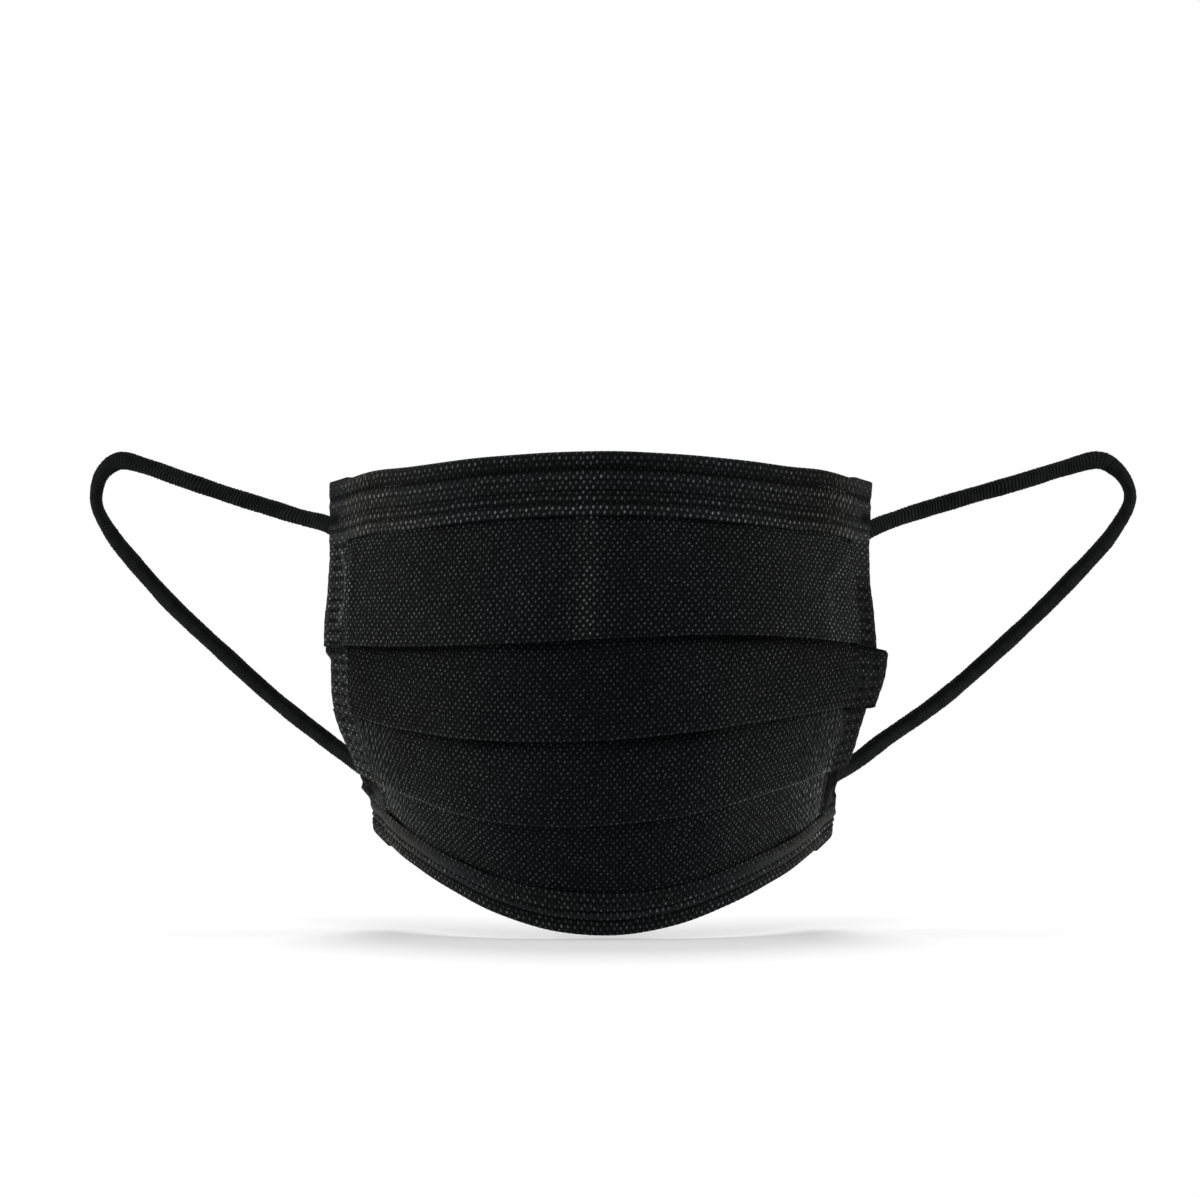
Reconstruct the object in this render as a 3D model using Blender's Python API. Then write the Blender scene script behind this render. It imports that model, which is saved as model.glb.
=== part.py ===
"""Pleated surgical mask of black non-woven cloth, in its worn shape, with two elastic ear loops.

Metres, +Z up. The outer face looks along -Y, and the wearer's face is on the +Y side.
The origin is the nose rest: the middle of the top hem's inner face.
"""

import math
from collections import namedtuple

import bmesh
import bpy
import numpy as np
from mathutils import Vector

# Outline of the worn mask
FRONT_WIDTH = 0.146  # between the side edges, seen from the front
FRONT_HEIGHT = 0.126  # down the middle, from the top edge to the bottom edge, seen from the front
BOWL_DEPTH = 0.044  # from the middle of the top edge back to its corners

# Cloth and folds
CLOTH = 0.0010  # wall of the pleated sheet
FOLD_GAP = 0.00035  # air between two folded layers
FIT = 0.0003  # air between two pieces
TUCK_AT_SIDE = 0.0105  # how far a pleat goes up behind its edge, at the side seams
TUCK_AT_MIDDLE = 0.0035  # the same at the middle, where the worn pleats stand open
NOSE_RIDGE = 0.0022  # how far the nose wire pinches the middle of the top forward
NOSE_RIDGE_REACH = 0.014  # how far that ridge spreads to each side

# Hems and seams
HEM_WALL = 0.0010
TOP_HEM_HEIGHT = 0.0155
BOTTOM_HEM_HEIGHT = 0.0120
SEAM_WIDTH = 0.0050  # seen from the front
SEAM_WALL = 0.0024
SEAM_STEP = 0.0012  # step of the seam below each pleat's edge
SEAM_LEAN = 0.5  # slope of the seam, as a share of the steeper slope of the cloth beside it

# Ear loops
LOOP_DIAMETER = 0.0042

# Lines across the mask from side to side, from the top edge down.
# A drop is a share of FRONT_HEIGHT below the middle of the top edge. A setback is a share of
# BOWL_DEPTH behind it, and stands in front of it where it is less than 0. A width is a share of
# half of FRONT_WIDTH, on one side. Bend is the power of the curve from the middle to the side, seen
# from above, and tilt lowers the left half of a line and lifts the right half, as a share of
# FRONT_HEIGHT.
Line = namedtuple(
    "Line",
    "name middle_drop left_drop right_drop tilt middle_setback side_setback left_width right_width bend",
)
LINES = (
    Line("top edge", 0.000, 0.060, 0.060, 0.00, 0.00, 1.00, 1.000, 1.000, 2.4),
    Line("upper panel", 0.200, 0.235, 0.235, 0.01, -0.20, 0.81, 0.990, 0.982, 2.3),
    Line("pleat 1", 0.385, 0.400, 0.404, 0.03, -0.33, 0.66, 1.000, 1.000, 2.2),
    Line("pleat 2", 0.592, 0.541, 0.526, 0.03, -0.34, 0.66, 0.968, 0.968, 2.3),
    Line("pleat 3", 0.768, 0.675, 0.660, 0.03, -0.25, 0.82, 0.882, 0.897, 2.6),
    Line("chin", 0.900, 0.740, 0.744, 0.01, -0.10, 0.99, 0.842, 0.864, 2.8),
    Line("bottom edge", 1.000, 0.788, 0.800, 0.00, 0.05, 1.10, 0.836, 0.854, 2.8),
)
PLEAT_ROWS = (2, 3, 4)
LAST_ROW = len(LINES) - 1

# How far each strip's welded end stands out past the smooth side edge, as a share of SEAM_WIDTH,
# at the strip's top and at its bottom.
Flare = namedtuple("Flare", "strip top bottom")
LEFT_FLARES = (
    Flare("upper panel", 0.00, 0.12),
    Flare("below pleat 1", 0.10, -0.02),
    Flare("below pleat 2", 0.04, 0.00),
    Flare("below pleat 3", 0.00, 0.00),
)
RIGHT_FLARES = (
    Flare("upper panel", 0.00, 0.04),
    Flare("below pleat 1", 0.62, 0.40),
    Flare("below pleat 2", 0.04, 0.00),
    Flare("below pleat 3", 0.00, 0.00),
)

# Centre lines of the ear loops in metres, from the upper end behind the seam round to the lower one
LEFT_LOOP_ROUTE = (
    (-0.0660, 0.0393, -0.0112),
    (-0.0705, 0.0423, -0.0113),
    (-0.0750, 0.0449, -0.0096),
    (-0.0808, 0.0475, -0.0082),
    (-0.0886, 0.0498, -0.0058),
    (-0.0990, 0.0515, -0.0026),
    (-0.1094, 0.0535, 0.0009),
    (-0.1158, 0.0550, 0.0031),
    (-0.1238, 0.0570, 0.0059),
    (-0.1308, 0.0585, 0.0074),
    (-0.1355, 0.0594, 0.0044),
    (-0.1374, 0.0598, -0.0006),
    (-0.1371, 0.0600, -0.0057),
    (-0.1336, 0.0598, -0.0121),
    (-0.1286, 0.0594, -0.0186),
    (-0.1167, 0.0575, -0.0317),
    (-0.1026, 0.0550, -0.0447),
    (-0.0879, 0.0525, -0.0577),
    (-0.0741, 0.0490, -0.0683),
    (-0.0675, 0.0456, -0.0729),
    (-0.0616, 0.0413, -0.0768),
    (-0.0556, 0.0365, -0.0806),
)
RIGHT_LOOP_ROUTE = (
    (0.0655, 0.0388, -0.0119),
    (0.0700, 0.0419, -0.0124),
    (0.0750, 0.0447, -0.0103),
    (0.0808, 0.0475, -0.0082),
    (0.0883, 0.0498, -0.0058),
    (0.0998, 0.0515, -0.0024),
    (0.1115, 0.0535, 0.0009),
    (0.1187, 0.0550, 0.0031),
    (0.1259, 0.0570, 0.0053),
    (0.1350, 0.0585, 0.0076),
    (0.1402, 0.0592, 0.0054),
    (0.1437, 0.0598, 0.0008),
    (0.1440, 0.0600, -0.0045),
    (0.1396, 0.0597, -0.0121),
    (0.1341, 0.0591, -0.0186),
    (0.1213, 0.0575, -0.0317),
    (0.1072, 0.0550, -0.0447),
    (0.0920, 0.0525, -0.0576),
    (0.0765, 0.0490, -0.0683),
    (0.0697, 0.0461, -0.0733),
    (0.0634, 0.0421, -0.0769),
    (0.0570, 0.0367, -0.0798),
)

# Fineness of the meshes
COLUMNS = 33  # upright sections across the pleated panel and the hems
COLUMN_TURN = 60  # degrees: the sections are spaced as a sine, closer together towards the sides
SECTION_STEPS = 180  # steps that measure one section's length
STRIP_POINTS = 5  # down the visible part of a strip
TUCK_POINTS = 3  # up a tuck behind a pleat's edge
HEM_POINTS = 4
SEAM_COLUMNS = 4
SEAM_POINTS = 5  # down each strip's welded end
SEAM_STEP_ROWS = 0.02  # height of the seam's step, in rows
FOLD_ANGLES = (60, 120)  # degrees round a fold, between its two flat sides
LOOP_SPACING = 2.0  # tube points, in diameters
LOOP_SIDES = 2  # bevel resolution
ROUTE_STEPS = 20  # steps that measure each stretch of a loop's route
SHARP_EDGE = 40  # degrees

FOLD_RADIUS = (CLOTH + FOLD_GAP) / 2
HEM_RADIUS = HEM_WALL / 2 + FIT + CLOTH / 2
HEM_STACK = 2 * HEM_WALL + 2 * FIT + CLOTH
FACE_LIFT = -CLOTH / 2  # middle of the cloth where its outer side is the mask's outer face
HEMMED_LIFT = -(HEM_WALL + FIT + CLOTH / 2)  # the same inside a hem
PANEL_SHARE = 1 - SEAM_WIDTH / (FRONT_WIDTH / 2)
SEAM_SHARE = PANEL_SHARE + FIT / (FRONT_WIDTH / 2)
SEAM_KNEE = SEAM_SHARE + FIT / (FRONT_WIDTH / 2)  # where the seam turns out from the panel's slope


def smooth(values, place):
    """Value of a smooth curve through evenly spaced values, at a place between 0 and the last one."""
    index = min(max(int(place), 0), len(values) - 2)
    part = float(place) - index
    here, there = values[index], values[index + 1]
    before = values[index - 1] if index > 0 else here * 2 - there
    after = values[index + 2] if index + 2 < len(values) else there * 2 - here
    return here + 0.5 * part * (
        there - before
        + part * (before * 2 - here * 5 + there * 4 - after)
        + part ** 2 * (here * 3 - before - there * 3 + after)
    )


def line_value(field, row):
    """A named column of LINES at any row between them."""
    return smooth([getattr(line, field) for line in LINES], row)


def outer_face(share, row):
    """The smooth outer face without its folds: share runs from -1 at the left edge to 1."""
    across = abs(share)
    side = "left" if share < 0 else "right"
    x = share * FRONT_WIDTH / 2 * line_value(side + "_width", row)
    middle_setback = line_value("middle_setback", row)
    side_setback = line_value("side_setback", row)
    bend = line_value("bend", row)
    curve = min(across, SEAM_KNEE) ** bend
    curve += max(across - SEAM_KNEE, 0.0) * SEAM_LEAN * bend * SEAM_KNEE ** (bend - 1)
    setback = middle_setback + (side_setback - middle_setback) * curve
    middle_drop = line_value("middle_drop", row)
    drop = middle_drop + (line_value(side + "_drop", row) - middle_drop) * across ** 2
    drop -= line_value("tilt", row) * share * (1 - across ** 2)
    fade = max(0.0, 1 - row / PLEAT_ROWS[0])
    ridge = NOSE_RIDGE * fade * math.exp(-((x / NOSE_RIDGE_REACH) ** 2))
    return Vector((x, BOWL_DEPTH * setback - ridge, -FRONT_HEIGHT * drop))


def outward(share, row, step=0.001):
    """Unit normal of the outer face, away from the wearer."""
    across = outer_face(share + step, row) - outer_face(share - step, row)
    up = outer_face(share, row - step) - outer_face(share, row + step)
    return across.cross(up).normalized()


class Section:
    """One upright cut through the mask. Run is the length down the outer face from the top edge,
    and lift is the height above that face, less than 0 towards the wearer."""

    def __init__(self, share):
        self.share = share
        self.rows = np.linspace(0, LAST_ROW, SECTION_STEPS + 1)
        points = [outer_face(share, row) for row in self.rows]
        steps = [(b - a).length for a, b in zip(points, points[1:])]
        self.runs = np.concatenate(([0.0], np.cumsum(steps)))
        self.length = self.runs[-1]

    def run_at(self, row):
        return float(np.interp(row, self.rows, self.runs))

    def point(self, run, lift):
        row = float(np.interp(run, self.runs, self.rows))
        return outer_face(self.share, row) + outward(self.share, row) * lift


NOSE_REST = Section(0).point(TOP_HEM_HEIGHT / 2, -HEM_STACK)


def strip_lift(section, strip, run):
    """Lift of the middle of the cloth in one strip. Each strip leans out to its own lower edge,
    and its hidden top lies two layers behind the strip above."""
    behind = 4 * FOLD_RADIUS
    starts = [TOP_HEM_HEIGHT + CLOTH] + [section.run_at(row) for row in PLEAT_ROWS]
    ends = starts[1:] + [section.length - BOTTOM_HEM_HEIGHT - CLOTH]
    if run <= starts[strip]:
        return strip_lift(section, strip - 1, run) - behind if strip else HEMMED_LIFT
    start_lift = FACE_LIFT - behind if strip else HEMMED_LIFT
    end_lift = FACE_LIFT if strip < len(PLEAT_ROWS) else HEMMED_LIFT
    part = min(1.0, (run - starts[strip]) / (ends[strip] - starts[strip]))
    return start_lift + (end_lift - start_lift) * math.sin(part * math.pi / 2)


def fold_points(run, lift, direction):
    """Points round a fold that starts at a run and lift, towards the wearer: direction is 1 for
    a fold at a strip's lower edge and -1 for one at a tuck's top."""
    angles = [math.radians(angle) for angle in FOLD_ANGLES]
    return [
        (run + direction * FOLD_RADIUS * math.sin(angle), lift - FOLD_RADIUS * (1 - math.cos(angle)))
        for angle in angles
    ]


def hem_runs(height):
    """Lengths from the mask's edge at which a hem is cut, from its own edge up to its fold."""
    return np.linspace(height, HEM_RADIUS + HEM_WALL / 2, HEM_POINTS)


def pleated_middle(section):
    """Middle of the pleated cloth down one section, as (run, lift) points."""
    tuck = TUCK_AT_MIDDLE + (TUCK_AT_SIDE - TUCK_AT_MIDDLE) * (section.share / PANEL_SHARE) ** 2
    line = [(run, HEMMED_LIFT) for run in hem_runs(TOP_HEM_HEIGHT)[::-1]]
    top_run = TOP_HEM_HEIGHT + CLOTH
    for strip, row in enumerate(PLEAT_ROWS):
        turn_run = section.run_at(row) - FOLD_RADIUS - CLOTH / 2
        for run in np.linspace(top_run, turn_run, STRIP_POINTS):
            line.append((run, strip_lift(section, strip, run)))
        line += fold_points(turn_run, line[-1][1], 1)
        tuck_run = section.run_at(row) - tuck
        for run in np.linspace(turn_run, tuck_run, TUCK_POINTS):
            line.append((run, strip_lift(section, strip, run) - 2 * FOLD_RADIUS))
        line += fold_points(tuck_run, line[-1][1], -1)
        line.append((tuck_run, strip_lift(section, strip + 1, tuck_run)))
        top_run = section.run_at(row)
    for run in np.linspace(top_run, section.length - BOTTOM_HEM_HEIGHT - CLOTH, STRIP_POINTS):
        line.append((run, strip_lift(section, len(PLEAT_ROWS), run)))
    line += [(section.length - run, HEMMED_LIFT) for run in hem_runs(BOTTOM_HEM_HEIGHT)]
    return line


def hem_middle(height):
    """Middle of a hem's cloth, folded over the panel's edge, with run measured from that edge."""
    runs = hem_runs(height)
    outer = [(run, -HEM_WALL / 2) for run in runs]
    fold = []
    for angle in FOLD_ANGLES:
        turn = math.radians(angle)
        fold.append((
            runs[-1] - HEM_RADIUS * math.sin(turn),
            -HEM_WALL / 2 - HEM_RADIUS * (1 - math.cos(turn)),
        ))
    inner = [(run, -HEM_WALL / 2 - 2 * HEM_RADIUS) for run in runs[::-1]]
    return outer + fold + inner


def wall_sides(middle, thickness):
    """Both sides of a wall whose middle is a line of (run, lift) points."""
    line = np.array(middle)
    along = np.diff(line, axis=0)
    along /= np.linalg.norm(along, axis=1)[:, None]
    before = np.vstack((along[:1], along))
    after = np.vstack((along, along[-1:]))
    mean = before + after
    mean /= np.linalg.norm(mean, axis=1)[:, None]
    half = thickness / 2 / np.sum(mean * after, axis=1)
    normal = np.column_stack((-mean[:, 1], mean[:, 0])) * half[:, None]
    return line + normal, line - normal


def loft(name, rings, material):
    """A closed solid from rings of points. The first half of a ring is one side of its wall and
    the second half is the other side, in the opposite order."""
    count = len(rings[0])
    shape = bmesh.new()
    rows = [[shape.verts.new(point - NOSE_REST) for point in ring] for ring in rings]
    for here, there in zip(rows, rows[1:]):
        for index in range(count):
            after = (index + 1) % count
            shape.faces.new((here[index], here[after], there[after], there[index]))
    for end in (rows[0], rows[-1]):
        for index in range(count // 2 - 1):
            shape.faces.new((end[index], end[index + 1], end[count - 2 - index], end[count - 1 - index]))
    bmesh.ops.triangulate(shape, faces=shape.faces[:])
    bmesh.ops.recalc_face_normals(shape, faces=shape.faces[:])
    mesh = bpy.data.meshes.new(name)
    shape.to_mesh(mesh)
    shape.free()
    mesh.shade_smooth()
    mesh.set_sharp_from_angle(angle=math.radians(SHARP_EDGE))
    mesh.materials.append(material)
    piece = bpy.data.objects.new(name, mesh)
    bpy.context.scene.collection.objects.link(piece)
    return piece


def panel_shares():
    """Shares of the half width at which the panel and the hems are cut, closer where they bend."""
    turn = math.radians(COLUMN_TURN)
    angles = np.linspace(-turn, turn, COLUMNS)
    return PANEL_SHARE * np.sin(angles) / math.sin(turn)


def pleated_panel(material):
    rings = []
    for share in panel_shares():
        section = Section(share)
        front, back = wall_sides(pleated_middle(section), CLOTH)
        rings.append([section.point(run, lift) for run, lift in (*front, *back[::-1])])
    return loft("pleated_panel", rings, material)


def hem(name, height, at_top, material):
    rings = []
    front, back = wall_sides(hem_middle(height), HEM_WALL)
    for share in panel_shares():
        section = Section(share)
        ring = []
        for run, lift in (*front, *back[::-1]):
            ring.append(section.point(run if at_top else section.length - run, lift))
        rings.append(ring)
    return loft(name, rings, material)


def side_seam(name, side, flares, material):
    """The welded strip down one side: side is -1 for the left and 1 for the right."""
    marks = []
    edges = (0,) + PLEAT_ROWS + (LAST_ROW,)
    for strip, flare in enumerate(flares):
        first_row = edges[strip] + (SEAM_STEP_ROWS if strip else 0)
        for part in np.linspace(0, 1, SEAM_POINTS):
            row = first_row + (edges[strip + 1] - first_row) * part
            lift = -SEAM_STEP * (1 - part) if strip else 0.0
            stand = flare.top + (flare.bottom - flare.top) * part
            edge_share = 1 + stand * SEAM_WIDTH / (FRONT_WIDTH / 2)
            marks.append((row, lift, edge_share))
    rings = []
    for part in np.linspace(0, 1, SEAM_COLUMNS):
        front = []
        back = []
        for row, lift, edge_share in marks:
            share = side * (SEAM_SHARE + (edge_share - SEAM_SHARE) * part)
            face = outer_face(share, row)
            normal = outward(share, row)
            front.append(face + normal * lift)
            back.append(face - normal * SEAM_WALL)
        rings.append(front + back[::-1])
    return loft(name, rings, material)


def ear_loop(name, route, material):
    """Elastic cord on a smooth curve through its route, with its ends on the seam's inner face."""
    points = [Vector(point) for point in route]
    places = np.linspace(0, len(points) - 1, ROUTE_STEPS * (len(points) - 1) + 1)
    fine = [smooth(points, place) for place in places]
    lengths = np.concatenate(([0.0], np.cumsum([(b - a).length for a, b in zip(fine, fine[1:])])))
    count = round(lengths[-1] / (LOOP_SPACING * LOOP_DIAMETER)) + 1
    curve = bpy.data.curves.new(name, "CURVE")
    curve.dimensions = "3D"
    curve.bevel_depth = LOOP_DIAMETER / 2
    curve.bevel_resolution = LOOP_SIDES
    curve.use_fill_caps = True
    spline = curve.splines.new("POLY")
    spline.points.add(count - 1)
    for point, length in zip(spline.points, np.linspace(0, lengths[-1], count)):
        place = [float(np.interp(length, lengths, [spot[axis] for spot in fine])) for axis in range(3)]
        point.co = (*place, 1.0)
    curve.materials.append(material)
    loop = bpy.data.objects.new(name, curve)
    bpy.context.scene.collection.objects.link(loop)
    return loop


def material(name, colour, roughness):
    made = bpy.data.materials.new(name)
    made.use_nodes = True
    shader = made.node_tree.nodes["Principled BSDF"]
    shader.inputs["Base Color"].default_value = (*colour, 1.0)
    shader.inputs["Roughness"].default_value = roughness
    shader.inputs["Metallic"].default_value = 0.0
    return made


def main():
    for thing in list(bpy.data.objects):
        bpy.data.objects.remove(thing, do_unlink=True)
    cloth = material("black_nonwoven", (0.012, 0.013, 0.014), 0.75)
    hem_cloth = material("black_hem", (0.014, 0.014, 0.014), 0.70)
    seam_cloth = material("black_weld", (0.013, 0.013, 0.013), 0.65)
    elastic = material("black_elastic", (0.009, 0.009, 0.010), 0.80)
    pleated_panel(cloth)
    hem("top_hem", TOP_HEM_HEIGHT, True, hem_cloth)
    hem("bottom_hem", BOTTOM_HEM_HEIGHT, False, hem_cloth)
    side_seam("side_seam_left", -1, LEFT_FLARES, seam_cloth)
    side_seam("side_seam_right", 1, RIGHT_FLARES, seam_cloth)
    ear_loop("ear_loop_left", LEFT_LOOP_ROUTE, elastic)
    ear_loop("ear_loop_right", RIGHT_LOOP_ROUTE, elastic)


main()
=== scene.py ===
"""Looks of the black pleated surgical mask: folded non-woven cloth with its bond points, doubled
hems with weld lines, pressed side seams and knitted ear loops. Metres, +Z up."""

import math
from collections import namedtuple

import bpy
import numpy as np
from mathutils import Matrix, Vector


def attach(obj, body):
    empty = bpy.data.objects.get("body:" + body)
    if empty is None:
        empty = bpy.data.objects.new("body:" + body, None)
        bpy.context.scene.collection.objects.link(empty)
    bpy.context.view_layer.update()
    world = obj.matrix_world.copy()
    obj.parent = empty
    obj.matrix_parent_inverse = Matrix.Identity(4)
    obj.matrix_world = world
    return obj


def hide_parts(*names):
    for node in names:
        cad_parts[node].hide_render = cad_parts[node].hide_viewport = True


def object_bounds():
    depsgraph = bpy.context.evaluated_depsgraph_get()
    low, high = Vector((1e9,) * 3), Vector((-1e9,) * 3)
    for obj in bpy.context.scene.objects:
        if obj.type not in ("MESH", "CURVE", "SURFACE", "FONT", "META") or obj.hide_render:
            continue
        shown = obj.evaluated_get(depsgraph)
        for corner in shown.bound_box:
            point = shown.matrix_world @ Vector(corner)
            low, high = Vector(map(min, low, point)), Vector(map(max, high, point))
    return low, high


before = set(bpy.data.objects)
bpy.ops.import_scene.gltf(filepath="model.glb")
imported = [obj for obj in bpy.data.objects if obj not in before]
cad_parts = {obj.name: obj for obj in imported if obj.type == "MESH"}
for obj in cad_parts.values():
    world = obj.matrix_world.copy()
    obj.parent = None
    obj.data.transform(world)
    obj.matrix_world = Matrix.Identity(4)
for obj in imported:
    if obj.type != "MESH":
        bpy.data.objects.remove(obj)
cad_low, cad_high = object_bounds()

MM = 0.001

# Sizes of the worn mask, the same as the solids have
FRONT_WIDTH = 0.146
FRONT_HEIGHT = 0.126
BOWL_DEPTH = 0.044
NOSE_RIDGE = 0.0022
NOSE_RIDGE_REACH = 0.014
TUCK_AT_SIDE = 0.0105
TUCK_AT_MIDDLE = 0.0035
TOP_HEM_HEIGHT = 0.0155
TOP_HEM_DROP = 0.0180  # the cloth hem's free edge hangs a little lower than the solid's
BOTTOM_HEM_HEIGHT = 0.0120
HEM_STACK = 0.0036  # from the hem's outer face to its inner face
HEM_EDGE_STACK = 0.0022  # the same where the inner turn's free edge rests on the panel
HEM_MARGIN = 0.0012  # from a hem's fold to the panel's own edge inside it
UNDER_HEM = 0.0006  # how far the panel's open part runs on under a hem's free edge
SEAM_WIDTH = 0.0050
SEAM_WALL = 0.0024
SEAM_STEP = 0.0012
SEAM_LEAN = 0.5
FIT = 0.0003
EDGE_RISE = 0.0003  # how far the cloth's edges and corners reach past the solids'
CORNER_RISE = 0.0010
EDGE_SAG = 0.0004
CORNER_SAG = 0.0016
LOOP_WIDTH = 0.0044
LOOP_THICKNESS = 0.0031
PANEL_SHARE = 1 - SEAM_WIDTH / (FRONT_WIDTH / 2)
SEAM_SHARE = PANEL_SHARE + FIT / (FRONT_WIDTH / 2)
SEAM_KNEE = SEAM_SHARE + FIT / (FRONT_WIDTH / 2)
CLOTH_SHARE = PANEL_SHARE + 0.012  # the panel and the hems run on under the seams
SEAM_INNER_SHARE = PANEL_SHARE - 0.008  # and the seams' inner edge is tucked under the panel

# Real cloth, thinner than the solids' walls
CLOTH = 0.00045
HEM_CLOTH = 0.0006
FOLD_AT_SIDE = 0.0003  # radius of a pleat's fold, where the layers are pressed
FOLD_AT_MIDDLE = 0.0004
FLAT_HALF_WIDTH = 87.5  # mm, half of the cut sheet
PLEAT_EDGES_T = (48.5, 96.0, 138.0)  # mm down the cut sheet to each pleat's edge
SHEET_END_T = 172.0
CREASE_S = -3.4  # mm across the sheet to the centre crease

# Lines across the mask, as in the solids' source: shares of the front's height, depth and half width
Line = namedtuple(
    "Line",
    "name middle_drop left_drop right_drop tilt middle_setback side_setback left_width right_width bend",
)
LINES = (
    Line("top edge", 0.000, 0.060, 0.060, 0.00, 0.00, 1.00, 1.000, 1.000, 2.4),
    Line("upper panel", 0.200, 0.235, 0.235, 0.01, -0.20, 0.81, 0.990, 0.982, 2.3),
    Line("pleat 1", 0.385, 0.400, 0.404, 0.03, -0.33, 0.66, 1.000, 1.000, 2.2),
    Line("pleat 2", 0.592, 0.541, 0.526, 0.03, -0.34, 0.66, 0.968, 0.968, 2.3),
    Line("pleat 3", 0.768, 0.675, 0.660, 0.03, -0.25, 0.82, 0.882, 0.897, 2.6),
    Line("chin", 0.900, 0.740, 0.744, 0.01, -0.10, 0.99, 0.842, 0.864, 2.8),
    Line("bottom edge", 1.000, 0.788, 0.800, 0.00, 0.05, 1.10, 0.836, 0.854, 2.8),
)
PLEAT_ROWS = (2, 3, 4)
LAST_ROW = 6

Flare = namedtuple("Flare", "strip top bottom bump bump_end", defaults=(0.0, 0.13))
LEFT_FLARES = (
    Flare("upper panel", 0.00, 0.12),
    Flare("below pleat 1", -0.18, 0.02, 0.32),
    Flare("below pleat 2", 0.30, 0.06),
    Flare("below pleat 3", 0.22, 0.10, 0.45, 0.38),
)
RIGHT_FLARES = (
    Flare("upper panel", 0.00, 0.04),
    Flare("below pleat 1", 0.85, 0.56),
    Flare("below pleat 2", 0.20, 0.16),
    Flare("below pleat 3", 0.10, 0.05),
)

LEFT_LOOP_ROUTE = (
    (-0.0660, 0.0393, -0.0112), (-0.0705, 0.0423, -0.0113), (-0.0750, 0.0449, -0.0096),
    (-0.0808, 0.0475, -0.0082), (-0.0886, 0.0498, -0.0058), (-0.0990, 0.0515, -0.0026),
    (-0.1094, 0.0535, 0.0009), (-0.1158, 0.0550, 0.0031), (-0.1238, 0.0570, 0.0059),
    (-0.1308, 0.0585, 0.0074), (-0.1355, 0.0594, 0.0044), (-0.1374, 0.0598, -0.0006),
    (-0.1371, 0.0600, -0.0057), (-0.1336, 0.0598, -0.0121), (-0.1286, 0.0594, -0.0186),
    (-0.1167, 0.0575, -0.0317), (-0.1026, 0.0550, -0.0447), (-0.0879, 0.0525, -0.0577),
    (-0.0741, 0.0490, -0.0683), (-0.0675, 0.0456, -0.0729), (-0.0616, 0.0413, -0.0768),
    (-0.0556, 0.0365, -0.0806),
)
RIGHT_LOOP_ROUTE = (
    (0.0655, 0.0388, -0.0119), (0.0700, 0.0419, -0.0124), (0.0750, 0.0447, -0.0103),
    (0.0808, 0.0475, -0.0082), (0.0883, 0.0498, -0.0058), (0.0998, 0.0515, -0.0024),
    (0.1115, 0.0535, 0.0009), (0.1187, 0.0550, 0.0031), (0.1259, 0.0570, 0.0053),
    (0.1350, 0.0585, 0.0076), (0.1402, 0.0592, 0.0054), (0.1437, 0.0598, 0.0008),
    (0.1440, 0.0600, -0.0045), (0.1396, 0.0597, -0.0121), (0.1341, 0.0591, -0.0186),
    (0.1213, 0.0575, -0.0317), (0.1072, 0.0550, -0.0447), (0.0920, 0.0525, -0.0576),
    (0.0765, 0.0490, -0.0683), (0.0697, 0.0461, -0.0733), (0.0634, 0.0421, -0.0769),
    (0.0570, 0.0367, -0.0798),
)

LEFT_BEND = 0.086  # m along the route to the middle of its bend
RIGHT_BEND = 0.092

# Camera: level, in front of the middle of the photograph's frame
CAMERA_PLACE = (-0.0002, -1.1, -0.0301)
CAMERA_LENS = 127.62  # mm, on a 36 mm sensor


def smooth(values, places):
    """Smooth curve through evenly spaced values or points, at places from 0 to the last one."""
    values = np.asarray(values, float)
    places = np.asarray(places, float)
    first = values[:1] * 2 - values[1:2]
    last = values[-1:] * 2 - values[-2:-1]
    padded = np.concatenate((first, values, last))
    index = np.clip(places.astype(int), 0, len(values) - 2)
    part = places - index
    if values.ndim > 1:
        part = part[..., None]
    before, here, there, after = (padded[index + step] for step in range(4))
    return here + 0.5 * part * (
        there - before
        + part * (before * 2 - here * 5 + there * 4 - after)
        + part ** 2 * (here * 3 - before - there * 3 + after)
    )


def ease(value, start, end):
    """0 before start, 1 after end and a smooth rise in between."""
    part = np.clip((value - start) / (end - start), 0, 1)
    return part * part * (3 - 2 * part)


def hill(value, middle, reach):
    return np.exp(-(((value - middle) / reach) ** 2))


def line_value(field, row):
    return smooth([getattr(line, field) for line in LINES], row)


def outer_face(share, row):
    """The smooth outer face without folds, measured from the middle of the top edge."""
    share, row = np.broadcast_arrays(np.asarray(share, float), np.asarray(row, float))
    across = np.abs(share)
    left = share < 0
    width = np.where(left, line_value("left_width", row), line_value("right_width", row))
    x = share * FRONT_WIDTH / 2 * width
    bend = line_value("bend", row)
    curve = np.minimum(across, SEAM_KNEE) ** bend
    curve = curve + np.maximum(across - SEAM_KNEE, 0) * SEAM_LEAN * bend * SEAM_KNEE ** (bend - 1)
    middle_setback = line_value("middle_setback", row)
    setback = middle_setback + (line_value("side_setback", row) - middle_setback) * curve
    side_drop = np.where(left, line_value("left_drop", row), line_value("right_drop", row))
    middle_drop = line_value("middle_drop", row)
    drop = middle_drop + (side_drop - middle_drop) * across ** 2
    drop = drop - line_value("tilt", row) * share * (1 - across ** 2)
    fade = np.maximum(0, 1 - row / PLEAT_ROWS[0])
    ridge = NOSE_RIDGE * fade * hill(x, 0, NOSE_RIDGE_REACH)
    height = -FRONT_HEIGHT * drop
    height = height + (EDGE_RISE + CORNER_RISE * hill(across, 0.84, 0.11)) * (1 - ease(row, 0, 1.2))
    height = height - (EDGE_SAG + CORNER_SAG * hill(across, 0.90, 0.18)) * ease(row, 4.2, 6)
    return np.stack((x, BOWL_DEPTH * setback - ridge, height), axis=-1)


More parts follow.
